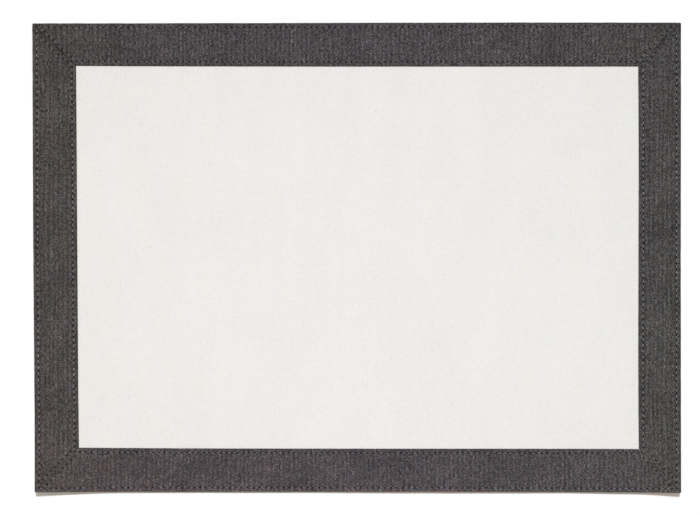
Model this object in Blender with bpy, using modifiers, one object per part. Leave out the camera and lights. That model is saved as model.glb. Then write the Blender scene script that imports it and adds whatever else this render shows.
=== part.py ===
"""Fabric placemat: a canvas panel with four mitred border strips, its two front corners a little lifted.

Metres, +Z up, +X along the long side. The origin is the middle of the underside.
"""

import math

import bmesh
import bpy
from mathutils import Vector

MM = 0.001

# Each edge of the mat is nearly straight. A row gives its distance from the mat's centre at the start, the
# first third, the second third and the end of the side, in mm. A side runs towards +X or towards +Y.
OUTER_REACH = {
    #        start   third   two thirds  end
    "back": (165.20, 165.40, 165.75, 165.80),
    "front": (165.35, 165.30, 165.45, 165.80),
    "left": (227.45, 228.00, 228.65, 229.10),
    "right": (229.00, 229.05, 228.80, 229.10),
}
INNER_REACH = {
    "back": (135.20, 134.90, 134.75, 134.80),
    "front": (134.50, 135.05, 135.20, 135.30),
    "left": (196.20, 197.10, 197.70, 198.10),
    "right": (199.20, 198.95, 199.25, 198.80),
}
HALF_LENGTH = 229.1 * MM
HALF_WIDTH = 165.8 * MM

# Canvas panel
PANEL_THICKNESS = 1.2 * MM
PANEL_INSET = 1.45 * MM  # from the mat's outer edge, so that the strip's turned-down wall clears it
PANEL_EDGE_ROUND = 0.3 * MM

# Border strips. A row is a point of the section's middle line: across from the outer edge, height, in mm.
STRIP_WIDTH = 30.5 * MM
STRIP_THICKNESS = 1.0 * MM
STRIP_EDGE_ROUND = 0.2 * MM
STRIP_SECTION = (
    # across, height
    (0.50, 0.00),  # foot of the turned-down wall, on the table
    (0.50, 1.05),  # top of the wall
    (0.70, 1.62),  # round of the fold
    (1.20, 2.02),  # shoulder of the fold
    (1.90, 2.12),  # ridge along the edge
    (3.00, 2.05),  # outer row of stitching
    (6.00, 2.15),  # rise
    (15.25, 2.20),  # middle
    (24.50, 2.15),  # fall
    (27.50, 2.05),  # inner row of stitching
    (29.00, 2.10),  # ridge along the turned-in edge
    (30.50, 2.06),  # inner edge
)
MITRE_GAP = 0.3 * MM

# Lifted front corners. The lift falls to nothing along a diagonal run from each corner.
LIFT_POWER = 1.7
LIFTS = (
    # corner, height in mm, run in mm
    ("left", 3.6, 66.0),
    ("right", 3.8, 84.0),
)

# Mesh stations, closer together where the cloth bends
FINE_SPACING = 6.5 * MM
COARSE_SPACING = 38 * MM
OVERRUN = 1.5 * MM  # how far a strip runs past its corner before the mitre is cut
CUTTER_SIZE = 90 * MM


def reach(table, side, along):
    """Distance of an edge from the mat's centre, on a smooth curve through the four values of its row."""
    start, third, two_thirds, end = (value * MM for value in table[side])
    half = HALF_LENGTH if side in ("back", "front") else HALF_WIDTH
    u = (along / half + 1) / 2
    return (
        start * (1 - 3 * u) * (2 - 3 * u) * (1 - u) / 2
        + third * 9 * u * (2 - 3 * u) * (1 - u) / 2
        + two_thirds * 9 * u * (3 * u - 1) * (1 - u) / 2
        + end * u * (3 * u - 1) * (3 * u - 2) / 2
    )


def lift(x, y):
    """Height of the cloth above the table near the two front corners."""
    height = 0.0
    for side, most, run in LIFTS:
        corner_x = -HALF_LENGTH if side == "left" else HALF_LENGTH
        away = abs(x - corner_x) + abs(y + HALF_WIDTH)
        height += most * MM * max(0.0, 1 - away / (run * MM)) ** LIFT_POWER
    return height


def stations(half, fine_low, fine_high):
    """Positions from -half to half, closely spaced for the given lengths at the two ends."""
    places = [-half]
    for start, end, spacing in (
        (-half, fine_low - half, FINE_SPACING),
        (fine_low - half, half - fine_high, COARSE_SPACING),
        (half - fine_high, half, FINE_SPACING),
    ):
        steps = math.ceil((end - start) / spacing)
        places += [start + (end - start) * step / steps for step in range(1, steps + 1)]
    return places


def fabric(name, colour):
    """A matt cloth material."""
    material = bpy.data.materials.new(name)
    material.use_nodes = True
    shader = material.node_tree.nodes["Principled BSDF"]
    shader.inputs["Base Color"].default_value = (*colour, 1)
    shader.inputs["Roughness"].default_value = 0.9
    shader.inputs["Metallic"].default_value = 0
    return material


def mapped_grid(name, columns, rows, place):
    """A grid whose point in column i, row j is moved to place(columns[i], rows[j])."""
    mesh = bpy.data.meshes.new(name)
    across, up = len(columns) - 1, len(rows) - 1
    bm = bmesh.new()
    bmesh.ops.create_grid(bm, x_segments=across, y_segments=up, size=0.5)
    for vert in bm.verts:
        column = columns[round((vert.co.x + 0.5) * across)]
        row = rows[round((vert.co.y + 0.5) * up)]
        vert.co = place(column, row)
    bm.to_mesh(mesh)
    bm.free()
    return bpy.data.objects.new(name, mesh)


def thicken(obj, thickness, edge_round):
    """Gives a surface its thickness, half on each side, and rounds its rim."""
    solidify = obj.modifiers.new("Thickness", "SOLIDIFY")
    solidify.thickness = thickness
    solidify.offset = 0
    solidify.use_even_offset = True
    bevel = obj.modifiers.new("Rounded rim", "BEVEL")
    bevel.width = edge_round
    bevel.segments = 1
    bevel.limit_method = "ANGLE"
    bevel.angle_limit = math.radians(50)


def finish(obj, material, collection):
    obj.data.materials.append(material)
    obj.data.shade_smooth()
    obj.data.set_sharp_from_angle(angle=math.radians(40))
    collection.objects.link(obj)


def centre_panel():
    """The canvas, flat on the table and lifted at the front corners."""
    longest = max(run for _, _, run in LIFTS) * MM

    def place(x, y):
        inset = 1 - PANEL_INSET / HALF_LENGTH
        side = "left" if x < 0 else "right"
        x_place = x / HALF_LENGTH * (reach(OUTER_REACH, side, y * inset) - PANEL_INSET)
        side = "front" if y < 0 else "back"
        y_place = y / HALF_WIDTH * (reach(OUTER_REACH, side, x * inset) - PANEL_INSET)
        return Vector((x_place, y_place, PANEL_THICKNESS / 2 + lift(x_place, y_place)))

    columns = stations(HALF_LENGTH, longest, longest)
    rows = stations(HALF_WIDTH, longest, 0)
    panel = mapped_grid("centre_panel", columns, rows, place)
    thicken(panel, PANEL_THICKNESS, PANEL_EDGE_ROUND)
    return panel


def border_strip(side):
    """One strip along a side of the mat: its outer edge turned down to the table, its ends past the corners."""
    lengthwise = side in ("back", "front")
    sign = -1 if side in ("front", "left") else 1
    half = (HALF_LENGTH if lengthwise else HALF_WIDTH) + OVERRUN

    def place(along, point):
        across, height = (value * MM for value in point)
        outer = reach(OUTER_REACH, side, along)
        inner = reach(INNER_REACH, side, along)
        out = outer + (inner - outer) * across / STRIP_WIDTH
        x, y = (along, sign * out) if lengthwise else (sign * out, along)
        return Vector((x, y, height + lift(x, y)))

    runs = {name: run * MM for name, _, run in LIFTS}
    if side == "front":
        fine_ends = (runs["left"], runs["right"])
    else:
        fine_ends = (runs.get(side, 0), 0)
    strip = mapped_grid("border_" + side, stations(half, *fine_ends), STRIP_SECTION, place)
    thicken(strip, STRIP_THICKNESS, STRIP_EDGE_ROUND)
    return strip


def corner_point(table, end_side, side):
    """Where two edges cross, for instance the left edge and the back one."""
    x_sign = -1 if end_side == "left" else 1
    y_sign = -1 if side == "front" else 1
    x = x_sign * reach(table, end_side, y_sign * HALF_WIDTH)
    y = y_sign * reach(table, side, x_sign * HALF_LENGTH)
    return Vector((x, y, 0))


def mitre_cutter(strip, end_side, side, collection):
    """A block that takes off all of a strip beyond the mitre line of one corner, and half of the gap there."""
    outer = corner_point(OUTER_REACH, end_side, side)
    inner = corner_point(INNER_REACH, end_side, side)
    line = (inner - outer).normalized()
    beyond = Vector((line.y, -line.x, 0))
    kept_side = Vector((0, outer.y, 0)) if strip.name.endswith(side) else Vector((outer.x, 0, 0))
    if beyond.dot(kept_side - outer) > 0:
        beyond = -beyond
    bpy.ops.mesh.primitive_cube_add(size=CUTTER_SIZE)
    cutter = bpy.context.object
    cutter.name = f"cutter_{strip.name}_{end_side}_{side}"
    cutter.rotation_euler.z = math.atan2(line.y, line.x)
    cutter.location = (outer + inner) / 2 + beyond * (CUTTER_SIZE - MITRE_GAP) / 2
    cutter.hide_render = True
    cutter.display_type = "WIRE"
    for holder in cutter.users_collection:
        holder.objects.unlink(cutter)
    collection.objects.link(cutter)
    cut = strip.modifiers.new(f"Mitre {end_side} {side}", "BOOLEAN")
    cut.operation = "DIFFERENCE"
    cut.object = cutter


def build():
    for obj in list(bpy.data.objects):
        bpy.data.objects.remove(obj, do_unlink=True)
    parts = bpy.data.collections.new("Fabric placemat")
    cutters = bpy.data.collections.new("Cutters")
    cutters.hide_render = True
    for collection in (parts, cutters):
        bpy.context.scene.collection.children.link(collection)
    canvas = fabric("Off-white canvas", (0.80, 0.78, 0.75))
    chambray = fabric("Charcoal chambray", (0.075, 0.068, 0.070))

    finish(centre_panel(), canvas, parts)
    strips = {side: border_strip(side) for side in OUTER_REACH}
    for strip in strips.values():
        finish(strip, chambray, parts)
    for end_side in ("left", "right"):
        for side in ("back", "front"):
            mitre_cutter(strips[side], end_side, side, cutters)
            mitre_cutter(strips[end_side], end_side, side, cutters)


build()
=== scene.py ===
import math

import bpy
import numpy as np
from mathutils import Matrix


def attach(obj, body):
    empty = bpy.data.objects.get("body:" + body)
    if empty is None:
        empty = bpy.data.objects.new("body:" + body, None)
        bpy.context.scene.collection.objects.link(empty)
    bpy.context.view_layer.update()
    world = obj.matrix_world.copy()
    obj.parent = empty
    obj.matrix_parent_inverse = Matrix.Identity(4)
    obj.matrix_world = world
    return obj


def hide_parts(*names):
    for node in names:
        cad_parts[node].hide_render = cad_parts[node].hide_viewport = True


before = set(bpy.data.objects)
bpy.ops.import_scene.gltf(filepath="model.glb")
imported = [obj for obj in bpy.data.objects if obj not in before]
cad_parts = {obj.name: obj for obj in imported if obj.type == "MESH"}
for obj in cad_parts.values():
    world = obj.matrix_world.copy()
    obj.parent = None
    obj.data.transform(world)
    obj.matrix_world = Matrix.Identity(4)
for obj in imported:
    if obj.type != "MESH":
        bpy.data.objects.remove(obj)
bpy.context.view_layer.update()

# Lengths in the dictionaries are in mm, everything that is built is in metres.
mm = 0.001
print("frame loaded:", ", ".join(sorted(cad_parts)))


mat = {
    "halfLength": 229.1,
    "halfWidth": 165.8,
    # how far each edge lies from the middle, at five places evenly spaced from its start to its end
    "outerReach": {
        "back": (165.50, 165.64, 165.91, 166.11, 166.05),
        "front": (165.71, 165.63, 165.60, 165.70, 166.22),
        "left": (227.17, 227.99, 228.64, 229.04, 229.40),
        "right": (228.85, 229.25, 229.15, 229.27, 229.30),
    },
    "innerReach": {
        "back": (135.36, 135.05, 134.93, 134.92, 134.92),
        "front": (134.42, 134.95, 135.12, 135.19, 135.37),
        "left": (196.22, 196.88, 197.40, 197.91, 198.34),
        "right": (199.32, 199.01, 199.14, 199.28, 198.92),
    },
    # the two front corners stand up a little: side, height, and how far the lift runs
    "lifts": ((-1, 3.6, 66.0), (1, 3.8, 84.0)),
    "liftPower": 1.7,
    # the front edge also waves a little above the table: place along it, height
    "frontWave": (
        (-230, 0.15), (-210, 0.27), (-170, 0.31), (-115, 0.08), (-75, 0.23), (-35, 0.18), (20, 0.51),
        (80, 0.70), (140, 0.32), (180, -0.03), (203, -0.83), (222, -0.60), (230, -0.24),
    ),
    "frontWaveRun": 30.0,  # how far the wave reaches into the mat
    "cornerRadius": 1.0,
    "seed": 11,
}


def smoothCurve(points, at):
    # a smooth curve through all the points, level beyond its ends
    px = np.array([p[0] for p in points])
    py = np.array([p[1] for p in points])
    step = np.diff(py) / np.diff(px)
    slope = np.concatenate(([step[0]], (step[1:] + step[:-1]) / 2, [step[-1]]))
    k = np.clip(np.searchsorted(px, at, side="right") - 1, 0, len(px) - 2)
    h = px[k + 1] - px[k]
    t = np.clip((at - px[k]) / h, 0, 1)
    return (
        py[k] * (1 + 2 * t) * (1 - t) ** 2
        + h * slope[k] * t * (1 - t) ** 2
        + py[k + 1] * t * t * (3 - 2 * t)
        + h * slope[k + 1] * t * t * (t - 1)
    )


def softNoise(x, y, sizeX, sizeY, seed):
    # smooth random bumps from -1 to 1, sizeX by sizeY mm each
    cells = 64
    shift = 1000.0  # keeps the numbers of the cells above zero
    grid = np.random.default_rng(mat["seed"] + seed).uniform(-1, 1, (cells, cells))
    x = np.asarray(x / sizeX + shift)
    y = np.asarray(y / sizeY + shift)
    i = np.floor(x).astype(int)
    j = np.floor(y).astype(int)
    fx = x - i
    fy = y - j
    fx = fx * fx * (3 - 2 * fx)
    fy = fy * fy * (3 - 2 * fy)
    i0, i1, j0, j1 = i % cells, (i + 1) % cells, j % cells, (j + 1) % cells
    low = grid[i0, j0] * (1 - fx) + grid[i1, j0] * fx
    high = grid[i0, j1] * (1 - fx) + grid[i1, j1] * fx
    return low * (1 - fy) + high * fy


def softRelief(x, y, numbers):
    # numbers are the size of a bump in x and in y, its height and the seed
    sizeX, sizeY, height, seed = numbers
    return height * softNoise(x, y, sizeX, sizeY, seed)


def gauss(value, size):
    # 1 at zero, almost nothing beyond twice the size
    return np.exp(-((value / size) ** 2))


def alongSide(side):
    # the back and front edges run from left to right
    return side in ("back", "front")


def sideSign(side):
    return 1 if side in ("back", "right") else -1


def reach(table, side, along):
    # distance of an edge from the middle of the mat, on a smooth curve through its values
    half = mat["halfLength"] if alongSide(side) else mat["halfWidth"]
    values = mat[table][side]
    return smoothCurve(list(zip(np.linspace(-half, half, len(values)), values)), along)


def lift(x, y):
    # height of the cloth above the table
    height = 0.0
    for sign, most, run in mat["lifts"]:
        away = np.abs(x - sign * mat["halfLength"]) + np.abs(y + mat["halfWidth"])
        height = height + most * np.clip(1 - away / run, 0, 1) ** mat["liftPower"]
    inside = np.clip(1 - (y + mat["halfWidth"]) / mat["frontWaveRun"], 0, 1)
    wave = smoothCurve(mat["frontWave"], x) * inside * inside * (3 - 2 * inside)
    return np.maximum(height + wave, 0)


def cornerPoint(table, endSign, side):
    # where the left or right edge meets the back or front one
    endSide = "right" if endSign > 0 else "left"
    x = endSign * reach(table, endSide, sideSign(side) * mat["halfWidth"])
    y = sideSign(side) * reach(table, side, endSign * mat["halfLength"])
    return np.array((x, y))


def solidMesh(name, places, quads, caps, cloth):
    # smooth quads and flat end caps; cloth holds the place of each point on the uncut cloth
    corners = np.concatenate([quads.reshape(-1), *caps]).astype(np.int32)
    sizes = np.array([4] * len(quads) + [len(cap) for cap in caps])
    starts = np.cumsum(sizes) - sizes
    mesh = bpy.data.meshes.new(name)
    mesh.vertices.add(len(places))
    mesh.vertices.foreach_set("co", places.reshape(-1).astype(np.float32))
    mesh.loops.add(len(corners))
    mesh.loops.foreach_set("vertex_index", corners)
    mesh.polygons.add(len(sizes))
    mesh.polygons.foreach_set("loop_start", starts.astype(np.int32))
    mesh.update(calc_edges=True)
    mesh.polygons.foreach_set("use_smooth", sizes == 4)
    layer = mesh.uv_layers.new(name="cloth")
    layer.data.foreach_set("uv", cloth[corners].reshape(-1).astype(np.float32))
    mesh.validate()
    turnOutwards(mesh)
    piece = bpy.data.objects.new(name, mesh)
    bpy.context.scene.collection.objects.link(piece)
    return piece


def turnOutwards(mesh):
    # turns the faces round where the closed shape is inside out
    mesh.calc_loop_triangles()
    places = np.empty(len(mesh.vertices) * 3, np.float32)
    mesh.vertices.foreach_get("co", places)
    places = places.reshape(-1, 3).astype(np.float64)
    triangles = np.empty(len(mesh.loop_triangles) * 3, np.int32)
    mesh.loop_triangles.foreach_get("vertices", triangles)
    a, b, c = (places[triangles.reshape(-1, 3)[:, k]] for k in range(3))
    volume = float((a * np.cross(b, c)).sum())
    if volume < 0:
        mesh.flip_normals()


strip = {
    "width": 30.5,
    "spacing": 0.42,  # between stations along the strip
    "endSpacing": 0.2,
    "endRun": 3.0,  # closer stations over this length at the mitres
    # the section's points: close together at the stitch rows, wider apart between them
    "rowSpacing": 0.235,
    "nearOuterRow": (1.1, 4.3),
    "nearInnerRow": (25.7, 29.2),
    "betweenRows": (4.8, 5.6, 6.6, *np.linspace(7.8, 24.8, 15)),
    "nearInnerEdge": (29.5, 29.8, 30.05, 30.25, 30.4, 30.5),
    "foldAngles": (-62, 70),  # of the fold's arc, from its foot to the top
    "foldSteps": 8,
    "foldRadius": 1.1,
    "foldMiddle": 1.08,  # height of the fold's middle above the table
    "foldWave": 0.10,  # how far the fold wavers to and fro
    "foldWaveLength": 9.0,
    "foldFoot": 0.6,  # below this height it wavers less
    "topFrom": 0.9,  # from this height up, the relief below is pressed into the cloth
    "seamGap": 0.03,
    "seamGapRun": 2.0,  # the gap opens over this distance from the outer edge
    "seamDepth": (0.14, 0.21),  # of every seam, and how much more where it shows fully
    "seamRound": 0.36,
    "rowTrough": 0.13,
    "troughWidth": 0.9,
    "holeDepth": 0.26,
    "holeRadius": 0.48,
    "pucker": 0.05,
    "puckerWidth": 2.0,
    # soft random relief: size in x and in y, height, seed
    "slubs": (0.9, 3.4, 0.025, 1),
    "waves": (17.0, 21.0, 0.05, 2),
    "ripples": (6.0, 8.0, 0.02, 3),
    "slit": (0.46, 2.4),  # the front right mitre gapes at its inner end: width, length
    # stitch rows: distance from the outer or the inner edge, stitch length
    "outerRow": {"back": (3.1, 4.30), "front": (2.8, 4.22), "left": (3.2, 4.31), "right": (3.3, 4.20)},
    "innerRow": {"back": (3.2, 3.96), "front": (3.05, 3.98), "left": (3.05, 4.06), "right": (3.4, 4.13)},
    # the rows beside the mitres: distance from the seam at a strip's start and end, stitch length
    "mitreRow": {"back": (2.0, 2.6), "front": (2.2, 1.9), "left": (2.2, 2.7), "right": (3.2, 1.9)},
    "mitrePitch": 4.07,
    "mitreShare": 0.6,  # the mitre rows press into the cloth less than the others
    "mitreOverrun": 0.45,  # a mitre row's trough ends this share of a stitch beyond its last hole
    "farAway": 9.0,  # an ended row counts as this much further off
    # needle holes, darkened by painted shade: the larger a number, the slimmer the hole is along its row
    # and across it
    "holeShape": {"lengthwise": (0.9, 1.0), "crosswise": (0.72, 1.2), "mitre": (0.82, 0.86)},
    # how much each seam shows, 0 to 1, by distance from the outer corner: in its depth and in its painted
    # shade
    "seamLine": {
        ("left", "back"): (
            (0, 0.4), (4, 0.5), (13, 0.55), (17, 0.2), (20, 0.4), (22, 0.85), (32, 0.85), (35, 0.3),
            (43, 0.25),
        ),
        ("right", "back"): (
            (0, 0.6), (3, 0.6), (7, 0.25), (13, 0.35), (16, 0.7), (25, 0.6), (30, 0.15), (43, 0.1),
        ),
        ("left", "front"): ((0, 0.2), (20, 0.12), (43, 0.15)),
        ("right", "front"): ((0, 0.15), (20, 0.1), (43, 0.2)),
    },
}

# top of the strip above the table, by distance from its outer edge
stripTop = (
    (1.1, 2.18), (2.0, 2.25), (4.0, 2.22), (8.0, 2.12), (15.0, 2.06), (22.0, 2.02), (24.5, 2.04),
    (27.0, 2.02), (29.0, 1.98), (29.7, 1.95), (30.1, 1.90), (30.38, 1.80), (30.5, 1.66),
)
# from under the inner edge back to the foot of the fold
stripUnder = (
    (30.42, 1.54), (29.0, 1.52), (23.0, 1.52), (15.0, 1.52), (7.0, 1.52), (2.6, 1.52),
    (1.75, 1.46), (1.46, 1.28), (1.40, 0.70), (1.34, 0.14), (1.12, 0.0),
)


def sectionPoints():
    # closed outline of the strip's section, from the foot of the fold over the top and back under
    radius = strip["foldRadius"]
    middle = strip["foldMiddle"]
    rise = stripTop[0][1] - middle
    angles = np.radians(np.linspace(*strip["foldAngles"], strip["foldSteps"]))
    fold = [(radius - radius * math.cos(a), middle + rise * math.sin(a)) for a in angles]
    across = [*np.arange(*strip["nearOuterRow"], strip["rowSpacing"]), *strip["betweenRows"]]
    across += [*np.arange(*strip["nearInnerRow"], strip["rowSpacing"]), *strip["nearInnerEdge"]]
    top = [(a, float(smoothCurve(stripTop, a))) for a in across]
    return np.array(fold + top + list(stripUnder)), len(fold) + len(top)


def stitchCount(length, pitch):
    return max(1, round(length / pitch))


def mitreLine(side, high):
    # outer and inner end of a strip's mitre as (along, out) pairs; high is the one at the strip's end
    if alongSide(side):
        ends = [cornerPoint(table, 1 if high else -1, side) for table in ("outerReach", "innerReach")]
        return [np.array((p[0], abs(p[1]))) for p in ends]
    meets = "back" if high else "front"
    ends = [cornerPoint(table, sideSign(side), meets) for table in ("outerReach", "innerReach")]
    return [np.array((p[1], abs(p[0]))) for p in ends]


def mitreAt(side, high, across):
    # the point of the mitre that a lengthwise line at this distance across runs into
    outer, inner = mitreLine(side, high)
    return outer + (inner - outer) * (across / strip["width"])[..., None]


def mitreFrame(side, high):
    # outer end of a mitre, and unit directions along it and from it onto the strip
    outer, inner = mitreLine(side, high)
    line = (inner - outer) / np.linalg.norm(inner - outer)
    beside = np.array((line[1], -line[0]))
    if beside[0] * (1 if high else -1) > 0:
        beside = -beside
    return outer, line, beside


def mitreRun(side, high):
    # where the row beside a mitre starts and ends, measured along the mitre from its outer end
    outer, inner = mitreLine(side, high)
    scale = float(np.linalg.norm(inner - outer)) / strip["width"]
    first = strip["outerRow"][side][0] * scale + strip["mitreRow"][side][high]
    last = (strip["width"] - strip["innerRow"][side][0]) * scale + strip["mitreRow"][side][high]
    return first, last


def seamPlaces(side, high):
    if alongSide(side):
        return strip["seamLine"][("right" if high else "left", side)]
    return strip["seamLine"][(side, "back" if high else "front")]


def rowEnds(side, row):
    # distance across of an outer or inner stitch row, and the mitre points at its start and end
    depth = strip[row][side][0]
    across = np.array(depth if row == "outerRow" else strip["width"] - depth)
    return across, mitreAt(side, False, across), mitreAt(side, True, across)


def rowField(side, row, along, across):
    # stitches counted along a row, the distance from it, and its stitch length
    at, low, high = rowEnds(side, row)
    pitch = strip[row][side][1]
    count = stitchCount(high[0] - low[0], pitch)
    phase = (along - low[0]) / (high[0] - low[0]) * count
    return phase, across - at + 0 * along, pitch


def mitreField(side, along, out):
    # the same for the row beside the nearer mitre, then the distance from its seam and how much that shows
    parts = []
    for high in (False, True):
        outer, line, beside = mitreFrame(side, high)
        run = (along - outer[0]) * line[0] + (out - outer[1]) * line[1]
        away = (along - outer[0]) * beside[0] + (out - outer[1]) * beside[1]
        first, last = mitreRun(side, high)
        count = stitchCount(last - first, strip["mitrePitch"])
        phase = (run - first) / (last - first) * count
        offset = away - strip["mitreRow"][side][high]
        # beyond its ends the row is as if far away, so that it leaves no trace there
        beyond = (phase < -strip["mitreOverrun"]) | (phase > count + strip["mitreOverrun"])
        offset = offset + strip["farAway"] * beyond
        parts.append((phase, offset, away, smoothCurve(seamPlaces(side, high), run)))
    phase, offset, seam, strength = (np.where(along > 0, high, low) for low, high in zip(*parts))
    return (phase, offset, strip["mitrePitch"]), seam, strength


def place(side, along, out, height):
    # points of the mat, in metres, from places along a strip, out from the mat's middle, and heights
    sign = sideSign(side)
    x, y = (along, sign * out) if alongSide(side) else (sign * out, along)
    return np.stack((x, y, height + lift(x, y)), axis=-1) * mm


def stationShares(length):
    # 0 to 1 along a strip, closer together at both ends
    fine = np.arange(0, strip["endRun"], strip["endSpacing"])
    steps = math.ceil((length - 2 * strip["endRun"]) / strip["spacing"])
    middle = np.linspace(strip["endRun"], length - strip["endRun"], steps + 1)
    return np.concatenate((fine, middle, length - fine[::-1])) / length


def cornerRecede(distance, across):
    # how far the rounded corner draws a lengthwise line in
    radius = np.maximum(mat["cornerRadius"] - across, 0)
    inside = np.clip(mat["cornerRadius"] - distance, 0, radius)
    return radius - np.sqrt(np.maximum(radius**2 - inside**2, 0))


def stripGrid(side, across):
    # where each station crosses each line of the section: along the strip, and out from the mat's middle
    rounded = np.maximum(mat["cornerRadius"] - across, 0)
    cut = across + (1 - math.sqrt(0.5)) * rounded
    low = mitreAt(side, False, cut)
    high = mitreAt(side, True, cut)
    slitWidth, slitLength = strip["slit"]
    gape = np.clip((across - strip["width"] + slitLength) / slitLength, 0, 1) ** 1.5 * slitWidth / 2
    seamGap = strip["seamGap"] * np.clip(across / strip["seamGapRun"], 0, 1)
    start = low[:, 0] + seamGap + (gape if side == "right" else 0)
    end = high[:, 0] - seamGap - (gape if side == "front" else 0)
    shares = stationShares(high[0, 0] - low[0, 0])[:, None]
    along = start + (end - start) * shares
    outer = reach("outerReach", side, along)
    inner = reach("innerReach", side, along)
    out = outer - (outer - inner) * across / strip["width"]
    # both ends are moved exactly onto the mitre, except in the rounded corner; along the strip this fades
    missLow = (low[:, 1] - out[0]) * (rounded == 0)
    missHigh = (high[:, 1] - out[-1]) * (rounded == 0)
    out = out + missLow * (1 - shares) ** 8 + missHigh * shares**8
    cornerLow = mitreLine(side, False)[0][0]
    cornerHigh = mitreLine(side, True)[0][0]
    out = out - cornerRecede(along - cornerLow, across) - cornerRecede(cornerHigh - along, across)
    return along, out, outer


def pressedRow(phase, offset, pitch):
    # the trough, needle holes and puckers of one stitch row, below the cloth around it
    lengthwise = (phase - np.round(phase)) * pitch
    trough = strip["rowTrough"] * gauss(offset, strip["troughWidth"])
    hole = strip["holeDepth"] * gauss(np.hypot(lengthwise, offset), strip["holeRadius"])
    pucker = strip["pucker"] * np.cos(2 * np.pi * phase) * gauss(offset, strip["puckerWidth"])
    return trough + hole + pucker


def developedAcross(section, topCount):
    # distance across the cloth itself, round the fold; a little inside the outer row both are equal
    bend = np.hypot(np.diff(section[:, 0]), np.diff(section[:, 1]))
    developed = np.concatenate(([0], np.cumsum(bend)))
    level = int(np.argmin(np.abs(section[:topCount, 0] - strip["width"] / 5)))
    return developed - developed[level] + section[level, 0]


def writeFacts(mesh, key, *values):
    # up to three values for each point, which the material reads as one attribute
    packed = np.stack([np.broadcast_to(value, values[0].shape) for value in values], axis=-1)
    attribute = mesh.attributes.new(key, "FLOAT_VECTOR", "POINT")
    attribute.data.foreach_set("vector", packed.reshape(-1).astype(np.float32))


def borderStrip(name, side):
    section, topCount = sectionPoints()
    across, profile = section.T
    onTop = np.arange(len(section)) < topCount
    along, out, outer = stripGrid(side, across)
    outerRow = rowField(side, "outerRow", along, across)
    innerRow = rowField(side, "innerRow", along, across)
    mitreRow, seam, seamStrength = mitreField(side, along, out)
    x, y = (along, sideSign(side) * out) if alongSide(side) else (sideSign(side) * out, along)
    relief = sum(softRelief(x, y, strip[key]) for key in ("slubs", "waves", "ripples"))
    relief -= pressedRow(*outerRow) + pressedRow(*innerRow) + strip["mitreShare"] * pressedRow(*mitreRow)
    leastDepth, shownDepth = strip["seamDepth"]
    relief -= (leastDepth + shownDepth * seamStrength) * gauss(np.maximum(seam, 0), strip["seamRound"])
    topShare = np.clip(profile - strip["topFrom"], 0, 1) * onTop
    height = np.maximum(profile + topShare * relief, 0)
    # the fold wavers a little, but meets its neighbour's at the mitres
    fromEnd = np.minimum(along - along[0], along[-1] - along)
    foldShare = (1 - topShare) * onTop * np.clip(height / strip["foldFoot"], 0, 1)
    foldShare *= np.clip(fromEnd / strip["endRun"], 0, 1)
    waveLength = strip["foldWaveLength"]
    foldWave = strip["foldWave"] * softNoise(along, along * 0, waveLength, waveLength, 4)
    points = place(side, along, out + foldShare * foldWave, height)

    developed = developedAcross(section, topCount)
    clothOut = sideSign(side) * (outer - developed)
    cloth = np.stack((along, clothOut) if alongSide(side) else (clothOut, along), axis=-1) * mm
    stations, loop, _ = points.shape
    index = np.arange(stations * loop).reshape(stations, loop)
    after = np.roll(index, -1, axis=1)
    quads = np.stack((index[:-1], after[:-1], after[1:], index[1:]), axis=-1).reshape(-1, 4)
    caps = (index[0], index[-1][::-1])
    piece = solidMesh(name, points.reshape(-1, 3), quads, caps, cloth.reshape(-1, 2))

    # for the cloth's material: stitches counted along a row, distance from it, how slim a hole is along it
    direction = "lengthwise" if alongSide(side) else "crosswise"
    for key, row, shape in (
        ("outerStitch", outerRow, direction),
        ("innerStitch", innerRow, direction),
        ("mitreStitch", mitreRow, "mitre"),
    ):
        phase, offset, _ = row
        slimAlong, slimAcross = strip["holeShape"][shape]
        writeFacts(piece.data, key, phase, offset * slimAcross, slimAlong)
    # distance from the outer edge and from the seam, and whether the strip runs from front to back
    writeFacts(piece.data, "edges", developed + 0 * along, seam, 0.0 if alongSide(side) else 1.0)
    writeFacts(piece.data, "seamLine", seamStrength, 0.0, 0.0)
    return piece


stripNames = {"back": "borderBack", "front": "borderFront", "left": "borderLeft", "right": "borderRight"}
strips = {}
for side, name in stripNames.items():
    strips[side] = borderStrip(name, side)
    print("strip", name, len(strips[side].data.loop_triangles), "triangles")


panel = {
    "inset": 1.55,  # from the mat's outer edge, inside the turned-down fold
    "bottom": 0.1,
    "top": 1.48,
    "spacing": 2.4,
    # soft random relief: size in x and in y, height, seed
    "waves": (31.0, 27.0, 0.05, 5),
    "ripples": (13.0, 12.0, 0.025, 6),
    "press": 0.28,  # the sewing holds the canvas down under the border
    "pressStart": (200.1, 137.3),  # from the middle, in length and in width
    "pressRun": 3.0,
    "rim": 0.1,  # how far the edge bulges
}


def panelLayers():
    # the panel's upper and lower face as grids of points
    columns = round(2 * mat["halfLength"] / panel["spacing"])
    rows = round(2 * mat["halfWidth"] / panel["spacing"])
    u, v = np.meshgrid(np.linspace(-1, 1, columns + 1), np.linspace(-1, 1, rows + 1), indexing="ij")
    x = u * mat["halfLength"]
    y = v * mat["halfWidth"]
    reachX = np.where(u < 0, reach("outerReach", "left", y), reach("outerReach", "right", y))
    reachY = np.where(v < 0, reach("outerReach", "front", x), reach("outerReach", "back", x))
    x = u * (reachX - panel["inset"])
    y = v * (reachY - panel["inset"])
    wave = softRelief(x, y, panel["waves"]) + softRelief(x, y, panel["ripples"])
    startX, startY = panel["pressStart"]
    press = np.clip(np.maximum(np.abs(x) - startX, np.abs(y) - startY) / panel["pressRun"], 0, 1)
    upper = panel["top"] + wave * (1 - press) - panel["press"] * press + lift(x, y)
    lower = panel["bottom"] + lift(x, y)
    return [np.stack((x, y, height), axis=-1) * mm for height in (upper, lower)]


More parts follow.
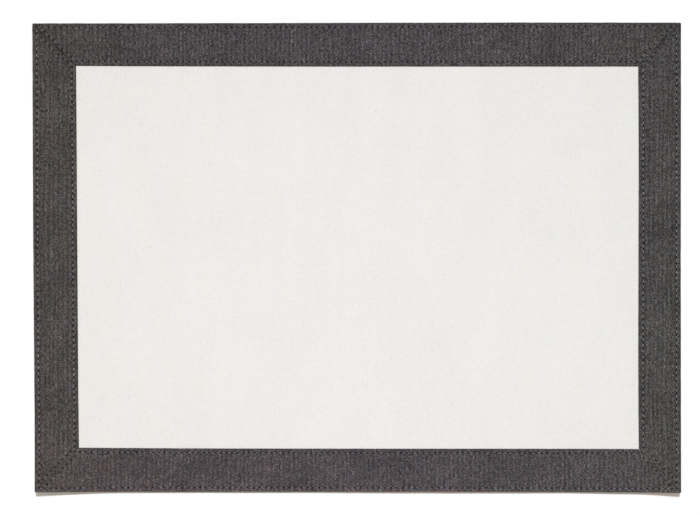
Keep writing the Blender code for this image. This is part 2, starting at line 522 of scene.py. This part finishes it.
def centrePanelSheet(name):
    # the two faces, with a rim of one middle row between them
    upper, lower = panelLayers()
    nx, ny, _ = upper.shape
    count = nx * ny
    index = np.arange(count).reshape(nx, ny)
    corners = (index[:-1, :-1], index[1:, :-1], index[1:, 1:], index[:-1, 1:])
    face = np.stack(corners, axis=-1).reshape(-1, 4)
    upper = upper.reshape(-1, 3)
    lower = lower.reshape(-1, 3)
    ring = np.concatenate((index[:-1, 0], index[-1, :-1], index[:0:-1, -1], index[0, :0:-1]))
    middle = (upper[ring] + lower[ring]) / 2
    outward = middle[:, :2] / np.linalg.norm(middle[:, :2], axis=1)[:, None]
    middle[:, :2] += outward * panel["rim"] * mm
    places = np.concatenate((upper, lower, middle))
    mids = 2 * count + np.arange(len(ring))
    nextRing = np.roll(ring, -1)
    nextMids = np.roll(mids, -1)
    rimUp = np.stack((ring, mids, nextMids, nextRing), axis=-1)
    rimDown = np.stack((mids, ring + count, nextRing + count, nextMids), axis=-1)
    quads = np.concatenate((face, face[:, ::-1] + count, rimUp, rimDown))
    return solidMesh(name, places, quads, (), places[:, :2])


centrePanel = centrePanelSheet("centrePanel")
print("panel", len(centrePanel.data.loop_triangles), "triangles")


class Wire:
    # one output socket; sums and products of wires and numbers add Math nodes to its tree

    def __init__(self, tree, socket):
        self.tree = tree
        self.socket = socket

    def math(self, operation, *values):
        return self.tree.node("ShaderNodeMath", {"operation": operation}, dict(enumerate(values)))

    def __add__(self, other):
        return self.math("ADD", self, other)

    __radd__ = __add__

    def __sub__(self, other):
        return self.math("SUBTRACT", self, other)

    def __rsub__(self, other):
        return self.math("SUBTRACT", other, self)

    def __mul__(self, other):
        return self.math("MULTIPLY", self, other)

    __rmul__ = __mul__

    def __truediv__(self, other):
        return self.math("DIVIDE", self, other)

    def __rtruediv__(self, other):
        return self.math("DIVIDE", other, self)

    def __pow__(self, other):
        return self.math("POWER", self, other)

    def floor(self):
        return self.math("FLOOR", self)

    def round(self):
        return self.math("ROUND", self)

    def fract(self):
        return self.math("FRACT", self)

    def abs(self):
        return self.math("ABSOLUTE", self)

    def sin(self):
        return self.math("SINE", self)

    def cos(self):
        return self.math("COSINE", self)

    def exp(self):
        return self.math("EXPONENT", self)

    def most(self, other):
        return self.math("MAXIMUM", self, other)

    def clip(self):
        return self.tree.node("ShaderNodeClamp", {}, {0: self})

    def ramp(self, low, high):
        # 0 at low, 1 at high, eased
        values = {"Value": self, "From Min": low, "From Max": high}
        return self.tree.node("ShaderNodeMapRange", {"interpolation_type": "SMOOTHSTEP"}, values)


class Tree:
    # a node tree of a material, a world or a modifier

    def __init__(self, nodeTree):
        self.nodes = nodeTree.nodes
        self.links = nodeTree.links

    def node(self, kind, settings=None, sockets=None, out=0):
        # any node: its settings first, then the values or wires of its sockets; gives back one output
        made = self.nodes.new(kind)
        for name, value in (settings or {}).items():
            setattr(made, name, value)
        for name, value in (sockets or {}).items():
            if isinstance(value, Wire):
                self.links.new(value.socket, made.inputs[name])
            else:
                made.inputs[name].default_value = value
        return Wire(self, made.outputs[out])

    def link(self, wire, node, socket):
        self.links.new(wire.socket, node.inputs[socket])

    def vector(self, x, y, z=0.0):
        return self.node("ShaderNodeCombineXYZ", {}, {0: x, 1: y, 2: z})

    def parts(self, wire):
        return [self.node("ShaderNodeSeparateXYZ", {}, {0: wire}, k) for k in range(3)]

    def times(self, first, second):
        return self.node("ShaderNodeVectorMath", {"operation": "MULTIPLY"}, {0: first, 1: second})

    def scale(self, vector, factor):
        return self.node("ShaderNodeVectorMath", {"operation": "SCALE"}, {0: vector, "Scale": factor})

    def blend(self, share, first, second):
        # between two plain colours
        values = {0: share, 6: (*first, 1), 7: (*second, 1)}
        return self.node("ShaderNodeMix", {"data_type": "RGBA"}, values, 2)

    def facts(self, name):
        # the three values of a vertex attribute
        return self.parts(self.node("ShaderNodeAttribute", {"attribute_name": name}, {}, 1))

    def objectPlace(self):
        return self.parts(self.node("ShaderNodeTexCoord", {}, {}, "Object"))

    def clothPlace(self):
        # place on the uncut cloth, in mm
        u, v, _ = self.parts(self.node("ShaderNodeUVMap", {"uv_map": "cloth"}))
        return u * 1000, v * 1000

    def grain(self, x, y, detail=0.0, seed=0.0):
        # soft random value about 0, from about -1 to 1; x and y are counted in bumps
        spread = 3.2  # the noise keeps near its middle, and this widens it
        values = {"Vector": self.vector(x, y, seed), "Scale": 1.0, "Detail": detail}
        return (self.node("ShaderNodeTexNoise", {"noise_dimensions": "3D"}, values) - 0.5) * spread

    def patches(self, x, y, numbers):
        # numbers are the size of a patch in x and in y, its strength, its detail and the seed
        sizeX, sizeY, strength, detail, seed = numbers
        return self.grain(x / sizeX, y / sizeY, detail, seed) * strength

    def dice(self, x, y=0.0):
        # a random value from -1 to 1 for each pair of whole numbers
        values = {"Vector": self.vector(x, y)}
        return self.node("ShaderNodeTexWhiteNoise", {"noise_dimensions": "2D"}, values) * 2 - 1

    def bump(self, height, strength=1.0):
        # height in mm
        return self.node("ShaderNodeBump", {}, {"Strength": strength, "Distance": mm, "Height": height})

    def weave(self, warp, weft, sunk):
        # a plain weave: how high the cloth stands, and whether the warp is the thread on top
        over = ((warp.floor() + weft.floor()) * 0.5).fract() * 2
        warpHeight = ((warp.fract() - 0.5) * math.pi).cos() * (over * sunk + (1 - sunk))
        weftHeight = ((weft.fract() - 0.5) * math.pi).cos() * (1 - over * sunk)
        edge = 0.12  # how softly one thread gives way to the other
        return warpHeight.most(weftHeight), (warpHeight - weftHeight).ramp(-edge, edge)

    def threads(self, x, y, cloth):
        # the numbers of the two threads at this place, how high the cloth stands, and whether the warp
        # is on top; the threads stray a little to and fro
        warp = (x + self.patches(x, y, cloth["warpSway"])) / cloth["warpPitch"]
        weft = (y + self.patches(x, y, cloth["weftSway"])) / cloth["weftPitch"]
        height, onTop = self.weave(warp, weft, cloth["sunk"])
        return warp.floor(), weft.floor(), height, onTop

    def warpStreaks(self, number, y, numbers):
        # numbers are a streak's length, its strength, the step from thread to thread, detail and seed
        length, strength, step, detail, seed = numbers
        return self.grain(number * step, y / length, detail, seed) * strength

    def weftStreaks(self, number, x, numbers):
        length, strength, step, detail, seed = numbers
        return self.grain(x / length, number * step, detail, seed) * strength


def newMaterial(name, roughness):
    material = bpy.data.materials.new(name)
    material.use_nodes = True
    shader = material.node_tree.nodes["Principled BSDF"]
    shader.inputs["Roughness"].default_value = roughness
    shader.inputs["Metallic"].default_value = 0.0
    return material, Tree(material.node_tree), shader


def overMat(px, py, terms):
    # a polynomial; each key holds the powers of px and py, which run from -1 to 1 over the mat
    total = 0.0
    for (powerX, powerY), factor in terms.items():
        term = factor
        for wire in [px] * powerX + [py] * powerY:
            term = wire * term
        total = term + total
    return total


chambray = {
    "colour": (0.0620, 0.0553, 0.0570),
    "roughness": 0.92,
    "specular": 0.25,
    "warpPitch": 0.58,  # mm between threads that run from front to back
    "weftPitch": 0.52,
    "sunk": 0.45,  # how deep a thread goes under the next
    "relief": 0.16,
    "depthShade": (0.62, 0.50),  # how light the lowest place is, and how much lighter the highest
    # patches: size in x and in y, strength, detail, seed
    "warpSway": (19, 7, 0.22, 1.0, 3.0),
    "weftSway": (8, 23, 0.2, 1.0, 8.0),
    "pepper": (0.7, 0.75, 0.12, 0.0, 14.0),
    "mottle": (26, 31, 0.19, 1.0, 7.0),
    "bandDrift": (8, 70, 0.34, 0.0, 6.0),
    # streaks along the threads: length, strength, step from thread to thread, detail, seed
    "warpFleck": (3.4, 0.40, 7.31, 1.0, 0.0),
    "warpStreak": (8.5, 0.16, 5.17, 0.0, 5.0),
    "weftFleck": (2.2, 0.20, 6.43, 1.0, 2.0),
    "cross": 0.90,  # how much the tone varies from crossing to crossing
    "warpThread": 0.11,  # and from thread to thread, in the two side strips
    "weftThread": 0.08,
    "hidden": 0.45,  # share of its own tone that a thread loses where it lies below
    "band": 0.22,  # ribs that run from front to back
    "bandPitch": 3.14,
    "bandSwell": (0.8, 2.5),  # middle of a rib's strength, and width of its swellings
    "bandRun": (6, 14),  # length of the swellings, and how much longer in the side strips
    "contrast": 0.97,
    "contrastSlope": (0.0001, 0.00024),  # for each mm to the right and to the back
    "holes": {"outerStitch": 4.25, "innerStitch": 4.0, "mitreStitch": 4.07},  # mm between needle holes
    "holeRadius": 0.70,
    "holeEdge": (0.40, 1.0),  # a hole's painted shade fades out between these shares of its squared radius
    # painted shade in the needle holes
    "holeShade": 0.95,
    "holeUneven": (0.90, 0.20),  # how strong the painted shade in the holes is, and how much that varies
    "holeRelief": 0.2,
    "seamShadeSpread": 0.12,  # squared half width of the painted shade along a seam
    "foldShading": 0.07,  # painted light and shade on the outer fold: lighter at the front, darker at the back and the sides
    "foldShadingTilt": 0.26,
    "foldShadingSpread": 3.0,  # squared width of the painted light and shade along the outer edge
    # the four strips differ a little in hue, and a painted shade makes them darker towards the back
    "red": {
        (0, 0): 1.0, (0, 1): -0.050, (0, 2): 0.035, (0, 3): -0.054,
        (1, 0): -0.028, (2, 0): -0.055, (1, 1): 0.02,
    },
    "green": {(0, 0): 1.0, (0, 1): -0.061, (1, 0): 0.015, (2, 0): -0.020},
    "blue": {(0, 0): 1.07, (0, 1): -0.072, (1, 0): 0.0145, (2, 0): -0.158},
    "rightBlue": 0.045,  # the right strip is bluer towards the back
    # the hue also varies in small patches: their size, and how strong they are
    "redSize": (7, 9),
    "redStrength": {(0, 0): 0.33, (0, 2): 0.18, (0, 1): -0.14},
    "blueSize": (4, 5),
    "blueStrength": 0.36,
    "greener": (0.935, 1.022, 1.0),
    "redder": (1.070, 0.974, 0.955),
    "yellower": (1.0, 1.012, 0.87),
    "bluer": (0.99, 0.972, 1.14),
}


def chambrayTone(tree, x, y, longShare):
    # how light each thread is at this place, and how high the cloth stands
    c = chambray
    i, j, height, onTop = tree.threads(x, y, c)
    crossTone = tree.dice(i, j) * c["cross"] + tree.patches(x, y, c["pepper"])
    warpTone = tree.warpStreaks(i, y, c["warpFleck"]) + tree.warpStreaks(i, y, c["warpStreak"])
    warpTone = warpTone + tree.dice(i) * longShare * c["warpThread"]
    weftTone = tree.weftStreaks(j, x, c["weftFleck"]) + tree.dice(j, 9.0) * c["weftThread"]
    swellMiddle, swellWidth = c["bandSwell"]
    swellLength, swellMore = c["bandRun"]
    swell = swellMiddle + tree.grain(x / swellWidth, y / (longShare * swellMore + swellLength), 0.0, 16.0)
    drift = tree.patches(x, y, c["bandDrift"])
    band = ((x / c["bandPitch"] + drift) * 2 * math.pi).sin() * swell * c["band"]
    hidden = c["hidden"]
    tone = crossTone + warpTone * (onTop * hidden + (1 - hidden)) + weftTone * (1 - onTop * hidden)
    slopeX, slopeY = c["contrastSlope"]
    contrast = c["contrast"] + y * slopeY + x * slopeX
    return (tone + band + tree.patches(x, y, c["mottle"])) * contrast, height


def needleHoleShade(tree):
    # mask of the needle holes, 1 in a hole and 0 away from it: it paints their shade and presses them in
    darkness, spread = chambray["holeUneven"]
    dark = 0.0
    for key, pitch in chambray["holes"].items():
        phase, offset, slim = tree.facts(key)
        number = phase.round()
        near = (phase - number) * pitch * slim
        away = (near * near + offset * offset) / chambray["holeRadius"] ** 2
        uneven = (tree.dice(number, pitch) * spread + darkness).clip()  # the pitch tells the rows apart
        dark = ((1 - away.ramp(*chambray["holeEdge"])) * uneven).most(dark)
    return dark


def chambrayMaterial():
    c = chambray
    material, tree, shader = newMaterial("charcoalChambray", c["roughness"])
    shader.inputs["Specular IOR Level"].default_value = c["specular"]
    x, y = tree.clothPlace()
    rim, seam, longShare = tree.facts("edges")
    tone, height = chambrayTone(tree, x, y, longShare)
    dark = needleHoleShade(tree)
    # painted shade in the groove of each mitre seam
    grooveShade = (seam * seam / -c["seamShadeSpread"]).exp() * tree.facts("seamLine")[0]
    px, py, _ = tree.objectPlace()
    px = px / (mat["halfLength"] * mm)
    py = py / (mat["halfWidth"] * mm)
    # painted light and shade on the outer fold, lighter at the front and darker at the back and the sides
    foldShading = (c["foldShading"] - py * c["foldShadingTilt"]) * (1 - longShare) - longShare * c["foldShading"]
    lowest, rise = c["depthShade"]
    # painted shade in the needle holes and along the seams
    shade = tone.exp() * (height * rise + lowest) * (1 - dark * c["holeShade"]) * (1 - grooveShade)
    shade = shade * (1 + foldShading * (rim * rim / -c["foldShadingSpread"]).exp())

    blue = overMat(px, py, c["blue"]) + px.clip() * py * longShare * c["rightBlue"]
    tint = tree.vector(overMat(px, py, c["red"]), overMat(px, py, c["green"]), blue)
    sizeX, sizeY = c["redSize"]
    redShare = tree.grain(x / sizeX, y / sizeY, 1.0, 12.0) * overMat(px, py, c["redStrength"]) + 0.5
    sizeX, sizeY = c["blueSize"]
    blueShare = tree.grain(x / sizeX, y / sizeY, 1.0, 21.0) * c["blueStrength"] + 0.5
    tint = tree.times(tint, tree.blend(redShare.clip(), c["greener"], c["redder"]))
    tint = tree.times(tint, tree.blend(blueShare.clip(), c["yellower"], c["bluer"]))
    tree.link(tree.scale(tree.times(tint, c["colour"]), shade), shader, "Base Color")
    tree.link(tree.bump(height * c["relief"] - dark * c["holeRelief"]), shader, "Normal")
    return material


canvas = {
    "colour": (0.774, 0.761, 0.742),
    "roughness": 0.9,
    "warpPitch": 0.50,
    "weftPitch": 0.55,
    "sunk": 0.4,
    "relief": 0.12,
    "reliefStrength": 0.8,
    "depthShade": (0.8, 0.05),  # the height that keeps the plain tone, and how much lighter it is above
    # patches: size in x and in y, strength, detail, seed
    "warpSway": (23, 9, 0.15, 1.0, 3.0),
    "weftSway": (9, 25, 0.15, 1.0, 8.0),
    "clouds": (46, 130, 0.018, 1.0, 7.0),
    "smallClouds": (17, 45, 0.0108, 1.0, 9.0),
    "hue": (21, 34, 0.011, 1.0, 15.0),
    "fineHue": (1.2, 1.7, 0.015, 1.0, 17.0),
    # streaks along the threads: length, strength, step from thread to thread, detail, seed
    "warpFleck": (3.2, 0.029, 7.31, 1.0, 0.0),
    "warpStreak": (11, 0.023, 5.17, 0.0, 5.0),
    "weftFleck": (2.8, 0.029, 6.43, 1.0, 2.0),
    "cross": 0.046,  # how much the tone varies from crossing to crossing
    "weftThread": 0.0092,
    "rib": 0.007,
    "ribPitch": 1.45,
    "speckSize": 0.36,  # bits of seed husk in the yarn
    "speckEdge": (0.6, 1.25),
    "speckDark": 0.4,
    "speckPitch": 90,
    # painted shade: a little darker towards the edges, and more so at the back than at the front; warmer
    # away from the middle
    "shade": {(0, 0): 1.0, (0, 1): -0.0125, (2, 0): -0.036, (0, 2): -0.022},
    "red": {(0, 0): 1.0, (1, 0): -0.007},
    "blue": {(0, 0): 1.0, (2, 0): -0.024},
}


def canvasMaterial():
    c = canvas
    material, tree, shader = newMaterial("offWhiteCanvas", c["roughness"])
    x, y = tree.clothPlace()
    i, j, height, onTop = tree.threads(x, y, c)
    warpTone = tree.warpStreaks(i, y, c["warpFleck"]) + tree.warpStreaks(i, y, c["warpStreak"])
    weftTone = tree.weftStreaks(j, x, c["weftFleck"]) + tree.dice(j, 9.0) * c["weftThread"]
    cloud = tree.patches(x, y, c["clouds"]) + tree.patches(x, y, c["smallClouds"])
    rib = (x / c["ribPitch"] * 2 * math.pi).sin() * c["rib"]
    tone = warpTone * onTop + weftTone * (1 - onTop) + tree.dice(i, j) * c["cross"] + cloud + rib
    cells = tree.node(
        "ShaderNodeTexVoronoi",
        {"voronoi_dimensions": "2D"},
        {"Vector": tree.vector(x / c["speckPitch"], y / c["speckPitch"]), "Scale": 1.0},
    )
    speck = 1 - (cells * c["speckPitch"] / c["speckSize"]).ramp(*c["speckEdge"])
    px = x / mat["halfLength"]
    py = y / mat["halfWidth"]
    level, lighter = c["depthShade"]
    shade = (height - level) * lighter + tone + 1
    # the specks darken the canvas, and the last factor is the painted shade
    shade = shade * (1 - speck * c["speckDark"]) * overMat(px, py, c["shade"])
    hue = tree.patches(x, y, c["hue"]) + tree.patches(x, y, c["fineHue"])
    tint = tree.vector(overMat(px, py, c["red"]) + hue, 1.0, overMat(px, py, c["blue"]) - hue)
    tree.link(tree.scale(tree.times(tint, c["colour"]), shade), shader, "Base Color")
    tree.link(tree.bump(height * c["relief"], c["reliefStrength"]), shader, "Normal")
    return material


charcoal = chambrayMaterial()
offWhite = canvasMaterial()
for piece in strips.values():
    piece.data.materials.append(charcoal)
centrePanel.data.materials.append(offWhite)
print("cloth materials made")


sewing = {
    "threadColour": (0.105, 0.100, 0.112),
    "threadWidth": 0.38,
    "reachShare": 0.74,  # of a stitch's length that the thread spans between its two holes
    "rise": 0.16,  # middle of the thread above the cloth
    "dip": 0.34,  # its ends below the cloth
    "archPower": 5.0,  # the higher, the flatter the top of a stitch
    "rings": 9,
    "sides": 6,
    "sway": 0.035,
    "plyTurns": 9,
    "plyShade": (0.80, 0.28),  # in the groove between two plies, and how much lighter on a ply
    "plyRelief": 0.06,
    "blotches": (420, 0.16),  # light and dark places along the thread: how many a metre, strength
    "endRun": (0.12, 0.80),  # painted shade: a stitch darkens towards its holes between these shares of its half length
    "endShade": (0.3, 0.18),  # how much, and how much more for a lighter thread
    # each row's thread tone with a painted sheen: the rows along the sides are lightest, as if they caught
    # the light
    "paintedSheen": {"back": 1.6, "front": 2.1, "left": 3.1, "right": 3.0, "mitre": 1.7},
    "uneven": 0.35,
}


def rowStitches(side, row):
    # the middle of each stitch, its direction, length and tone
    across, low, high = rowEnds(side, row)
    length = high[0] - low[0]
    count = stitchCount(length, strip[row][side][1])
    along = low[0] + (np.arange(count) + 0.5) / count * length
    outer = reach("outerReach", side, along)
    out = outer - (outer - reach("innerReach", side, along)) * across / strip["width"]
    top = smoothCurve(stripTop, across) - strip["rowTrough"]
    points = place(side, along, out, top)
    heading = place(side, along + 0.5, out, top) - place(side, along - 0.5, out, top)
    return points, heading, np.full(count, length / count), np.full(count, sewing["paintedSheen"][side])


def mitreStitches(side, high):
    outer, line, beside = mitreFrame(side, high)
    first, last = mitreRun(side, high)
    count = stitchCount(last - first, strip["mitrePitch"])
    run = first + (np.arange(count) + 0.5) / count * (last - first)
    along, out = (outer + line * run[:, None] + beside * strip["mitreRow"][side][high]).T
    edge = reach("outerReach", side, along)
    across = (edge - out) / (edge - reach("innerReach", side, along)) * strip["width"]
    top = smoothCurve(stripTop, across) - strip["mitreShare"] * strip["rowTrough"]
    points = place(side, along, out, top)
    ahead, outwards = line / 2
    before = place(side, along - ahead, out - outwards, top)
    after = place(side, along + ahead, out + outwards, top)
    spans = np.full(count, (last - first) / count)
    return points, after - before, spans, np.full(count, sewing["paintedSheen"]["mitre"])


def stitchSpots(name, side):
    # one loose point for each stitch
    rows = [rowStitches(side, row) for row in ("outerRow", "innerRow")]
    rows += [mitreStitches(side, high) for high in (False, True)]
    points, heading, spans, tones = (np.concatenate([row[k] for row in rows]) for k in range(4))
    chance = np.random.default_rng(mat["seed"] + len(side)).uniform(-1, 1, len(points))
    tones = tones * (1 + sewing["uneven"] * chance)
    heading = heading / np.linalg.norm(heading, axis=1)[:, None]
    mesh = bpy.data.meshes.new(name)
    mesh.vertices.add(len(points))
    mesh.vertices.foreach_set("co", points.reshape(-1).astype(np.float32))
    for key, kind, slot, values in (
        ("heading", "FLOAT_VECTOR", "vector", heading.reshape(-1)),
        ("span", "FLOAT", "value", spans * mm),
        ("tone", "FLOAT", "value", tones),
    ):
        mesh.attributes.new(key, kind, "POINT").data.foreach_set(slot, values.astype(np.float32))
    return mesh


def stitchTree(material):
    group = bpy.data.node_groups.new("stitches", "GeometryNodeTree")
    group.is_modifier = True
    group.interface.new_socket("Geometry", in_out="INPUT", socket_type="NodeSocketGeometry")
    for name in ("Thread Width", "Reach", "Rise", "Dip", "Sway"):
        group.interface.new_socket(name, in_out="INPUT", socket_type="NodeSocketFloat")
    group.interface.new_socket("Geometry", in_out="OUTPUT", socket_type="NodeSocketGeometry")
    tree = Tree(group)
    entry = tree.nodes.new("NodeGroupInput")
    spots, width, span, rise, dip, sway = (Wire(tree, entry.outputs[k]) for k in range(6))

    # one stitch, 1 long, arched, which is stretched to its span when it is placed
    line = tree.node(
        "GeometryNodeCurvePrimitiveLine",
        {"mode": "POINTS"},
        {"Start": (-0.5, 0, 0), "End": (0.5, 0, 0)},
    )
    rings = tree.node(
        "GeometryNodeResampleCurve",
        {"mode": "COUNT"},
        {"Curve": line, "Count": sewing["rings"]},
    )
    run = tree.node("GeometryNodeSplineParameter")
    arch = 1 - (run * 2 - 1).abs() ** sewing["archPower"]
    offset = tree.vector(0.0, 0.0, arch * (rise + dip) - dip)
    bent = tree.node("GeometryNodeSetPosition", {}, {"Geometry": rings, "Offset": offset})
    marked = tree.node(
        "GeometryNodeStoreNamedAttribute",
        {"data_type": "FLOAT", "domain": "POINT"},
        {"Geometry": bent, "Name": "runAlong", "Value": run},
    )
    circle = tree.node(
        "GeometryNodeCurvePrimitiveCircle",
        {"mode": "RADIUS"},
        {"Resolution": sewing["sides"], "Radius": width / 2},
    )
    tube = tree.node(
        "GeometryNodeCurveToMesh",
        {},
        {"Curve": marked, "Profile Curve": circle, "Fill Caps": True},
    )
    smooth = tree.node("GeometryNodeSetShadeSmooth", {}, {"Geometry": tube})

    named = "GeometryNodeInputNamedAttribute"
    heading = tree.node(named, {"data_type": "FLOAT_VECTOR"}, {"Name": "heading"})
    size = tree.node(named, {"data_type": "FLOAT"}, {"Name": "span"})
    wobble = tree.node(
        "FunctionNodeRandomValue",
        {"data_type": "FLOAT_VECTOR"},
        {"Min": (-1, -1, -0.3), "Max": (1, 1, 0.3), "Seed": mat["seed"]},
    )
    sways = tree.scale(wobble, sway)
    turn = tree.node(
        "FunctionNodeAxesToRotation",
        {"primary_axis": "X", "secondary_axis": "Z"},
        {0: tree.node("ShaderNodeVectorMath", {"operation": "ADD"}, {0: heading, 1: sways}), 1: (0, 0, 1)},
    )
    stretch = tree.vector(size * span, 1.0, 1.0)
    placed = tree.node(
        "GeometryNodeInstanceOnPoints",
        {},
        {"Points": spots, "Instance": smooth, "Rotation": turn, "Scale": stretch},
    )
    real = tree.node("GeometryNodeRealizeInstances", {}, {"Geometry": placed})
    finished = tree.node("GeometryNodeSetMaterial", {}, {"Geometry": real, "Material": material})
    tree.link(finished, tree.nodes.new("NodeGroupOutput"), 0)
    return group


def threadMaterial():
    material, tree, shader = newMaterial("sewingThread", 0.75)
    tone = tree.node("ShaderNodeAttribute", {"attribute_name": "tone"}, {}, 2)
    run = tree.node("ShaderNodeAttribute", {"attribute_name": "runAlong"}, {}, 2)
    x, y, _ = tree.objectPlace()
    ply = ((run * sewing["plyTurns"]).fract() - 0.5).abs() * 2
    number, strength = sewing["blotches"]
    blotch = tree.grain(x * number, y * number, 1.0, 4.0) * strength
    endShade, endMore = sewing["endShade"]
    # painted shade where the thread dips into its holes
    ends = 1 - (run * 2 - 1).abs().ramp(*sewing["endRun"]) * (tone * endMore + endShade).clip()
    grooveShade, lighter = sewing["plyShade"]
    # tone carries each row's painted sheen and its random unevenness
    shade = tone * (1 + blotch) * (ply * lighter + grooveShade) * ends
    tree.link(tree.scale(sewing["threadColour"], shade), shader, "Base Color")
    tree.link(tree.bump(ply * sewing["plyRelief"]), shader, "Normal")
    return material


def sewRows(name, side, group):
    piece = bpy.data.objects.new(name, stitchSpots(name, side))
    bpy.context.scene.collection.objects.link(piece)
    modifier = piece.modifiers.new("stitches", "NODES")
    modifier.node_group = group
    values = {
        "Thread Width": sewing["threadWidth"] * mm,
        "Reach": sewing["reachShare"],
        "Rise": sewing["rise"] * mm,
        "Dip": sewing["dip"] * mm,
        "Sway": sewing["sway"],
    }
    for item in group.interface.items_tree:
        if item.in_out == "INPUT" and item.name in values:
            modifier[item.identifier] = values[item.name]
    graph = bpy.context.evaluated_depsgraph_get()
    mesh = bpy.data.meshes.new_from_object(piece.evaluated_get(graph), depsgraph=graph)
    piece.modifiers.clear()
    piece.data = mesh
    mesh.name = name
    return piece


stitchGroup = stitchTree(threadMaterial())
stitches = {}
for side in stripNames:
    stitches[side] = sewRows("stitching" + side.capitalize(), side, stitchGroup)
    print("stitching", side, len(stitches[side].data.polygons), "faces")


studio = {
    "cameraHeight": 1300.0,
    "frameWidth": 494.6,
    "cameraX": -4.73,
    "cameraY": -0.40,
    "sightLevel": 2.0,  # the frame's width is measured at this height
    "sunTilt": 36.0,  # degrees from straight down, from behind the mat
    "sunAngle": 9.0,
    "sunStrength": 2.76,
    "sunColour": (0.956, 1.008, 1.100),
    "skyZenith": 0.465,
    "skyHorizon": 0.94,
    "skyRise": (0.02, 0.45),  # the sky changes from its horizon to its zenith between these heights
    "skyColour": (1.0, 0.912, 0.79),
    "tableHalf": 12000.0,
    "tableColour": (0.95, 0.936, 0.917),
}


def makeTable():
    half = studio["tableHalf"] * mm
    mesh = bpy.data.meshes.new("table")
    corners = [(-half, -half, 0), (half, -half, 0), (half, half, 0), (-half, half, 0)]
    mesh.from_pydata(corners, [], [(0, 1, 2, 3)])
    table = bpy.data.objects.new("table", mesh)
    bpy.context.scene.collection.objects.link(table)
    material, _, shader = newMaterial("palePaint", 0.8)
    shader.inputs["Base Color"].default_value = (*studio["tableColour"], 1)
    shader.inputs["Specular IOR Level"].default_value = 0.0
    mesh.materials.append(material)


def makeLight():
    sun = bpy.data.lights.new("keyLight", "SUN")
    sun.energy = studio["sunStrength"]
    sun.color = studio["sunColour"]
    sun.angle = math.radians(studio["sunAngle"])
    lamp = bpy.data.objects.new("keyLight", sun)
    lamp.rotation_euler = (math.radians(-studio["sunTilt"]), 0, 0)
    lamp.location = (0, 1, 1.5)
    bpy.context.scene.collection.objects.link(lamp)
    world = bpy.data.worlds.new("paleRoom")
    world.use_nodes = True
    sky = world.node_tree.nodes["Background"]
    sky.inputs["Color"].default_value = (*studio["skyColour"], 1)
    tree = Tree(world.node_tree)
    up = tree.parts(tree.node("ShaderNodeTexCoord", {}, {}, "Generated"))[2]
    change = studio["skyZenith"] - studio["skyHorizon"]
    tree.link(up.ramp(*studio["skyRise"]) * change + studio["skyHorizon"], sky, "Strength")
    bpy.context.scene.world = world
    bpy.context.scene.view_settings.view_transform = "Standard"


def makeCamera():
    data = bpy.data.cameras.new("camera")
    data.sensor_width = 36.0
    data.lens = data.sensor_width * (studio["cameraHeight"] - studio["sightLevel"]) / studio["frameWidth"]
    data.clip_end = 100.0
    camera = bpy.data.objects.new("camera", data)
    camera.location = (studio["cameraX"] * mm, studio["cameraY"] * mm, studio["cameraHeight"] * mm)
    bpy.context.scene.collection.objects.link(camera)
    bpy.context.scene.camera = camera


makeTable()
makeLight()
makeCamera()
print("studio set")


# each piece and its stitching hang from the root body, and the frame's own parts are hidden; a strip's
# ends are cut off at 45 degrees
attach(centrePanel, "root")
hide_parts("centre_panel")
for side, piece in strips.items():
    sewn = stitches[side]
    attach(piece, "root")
    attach(sewn, "root")
    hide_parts("border_" + side)
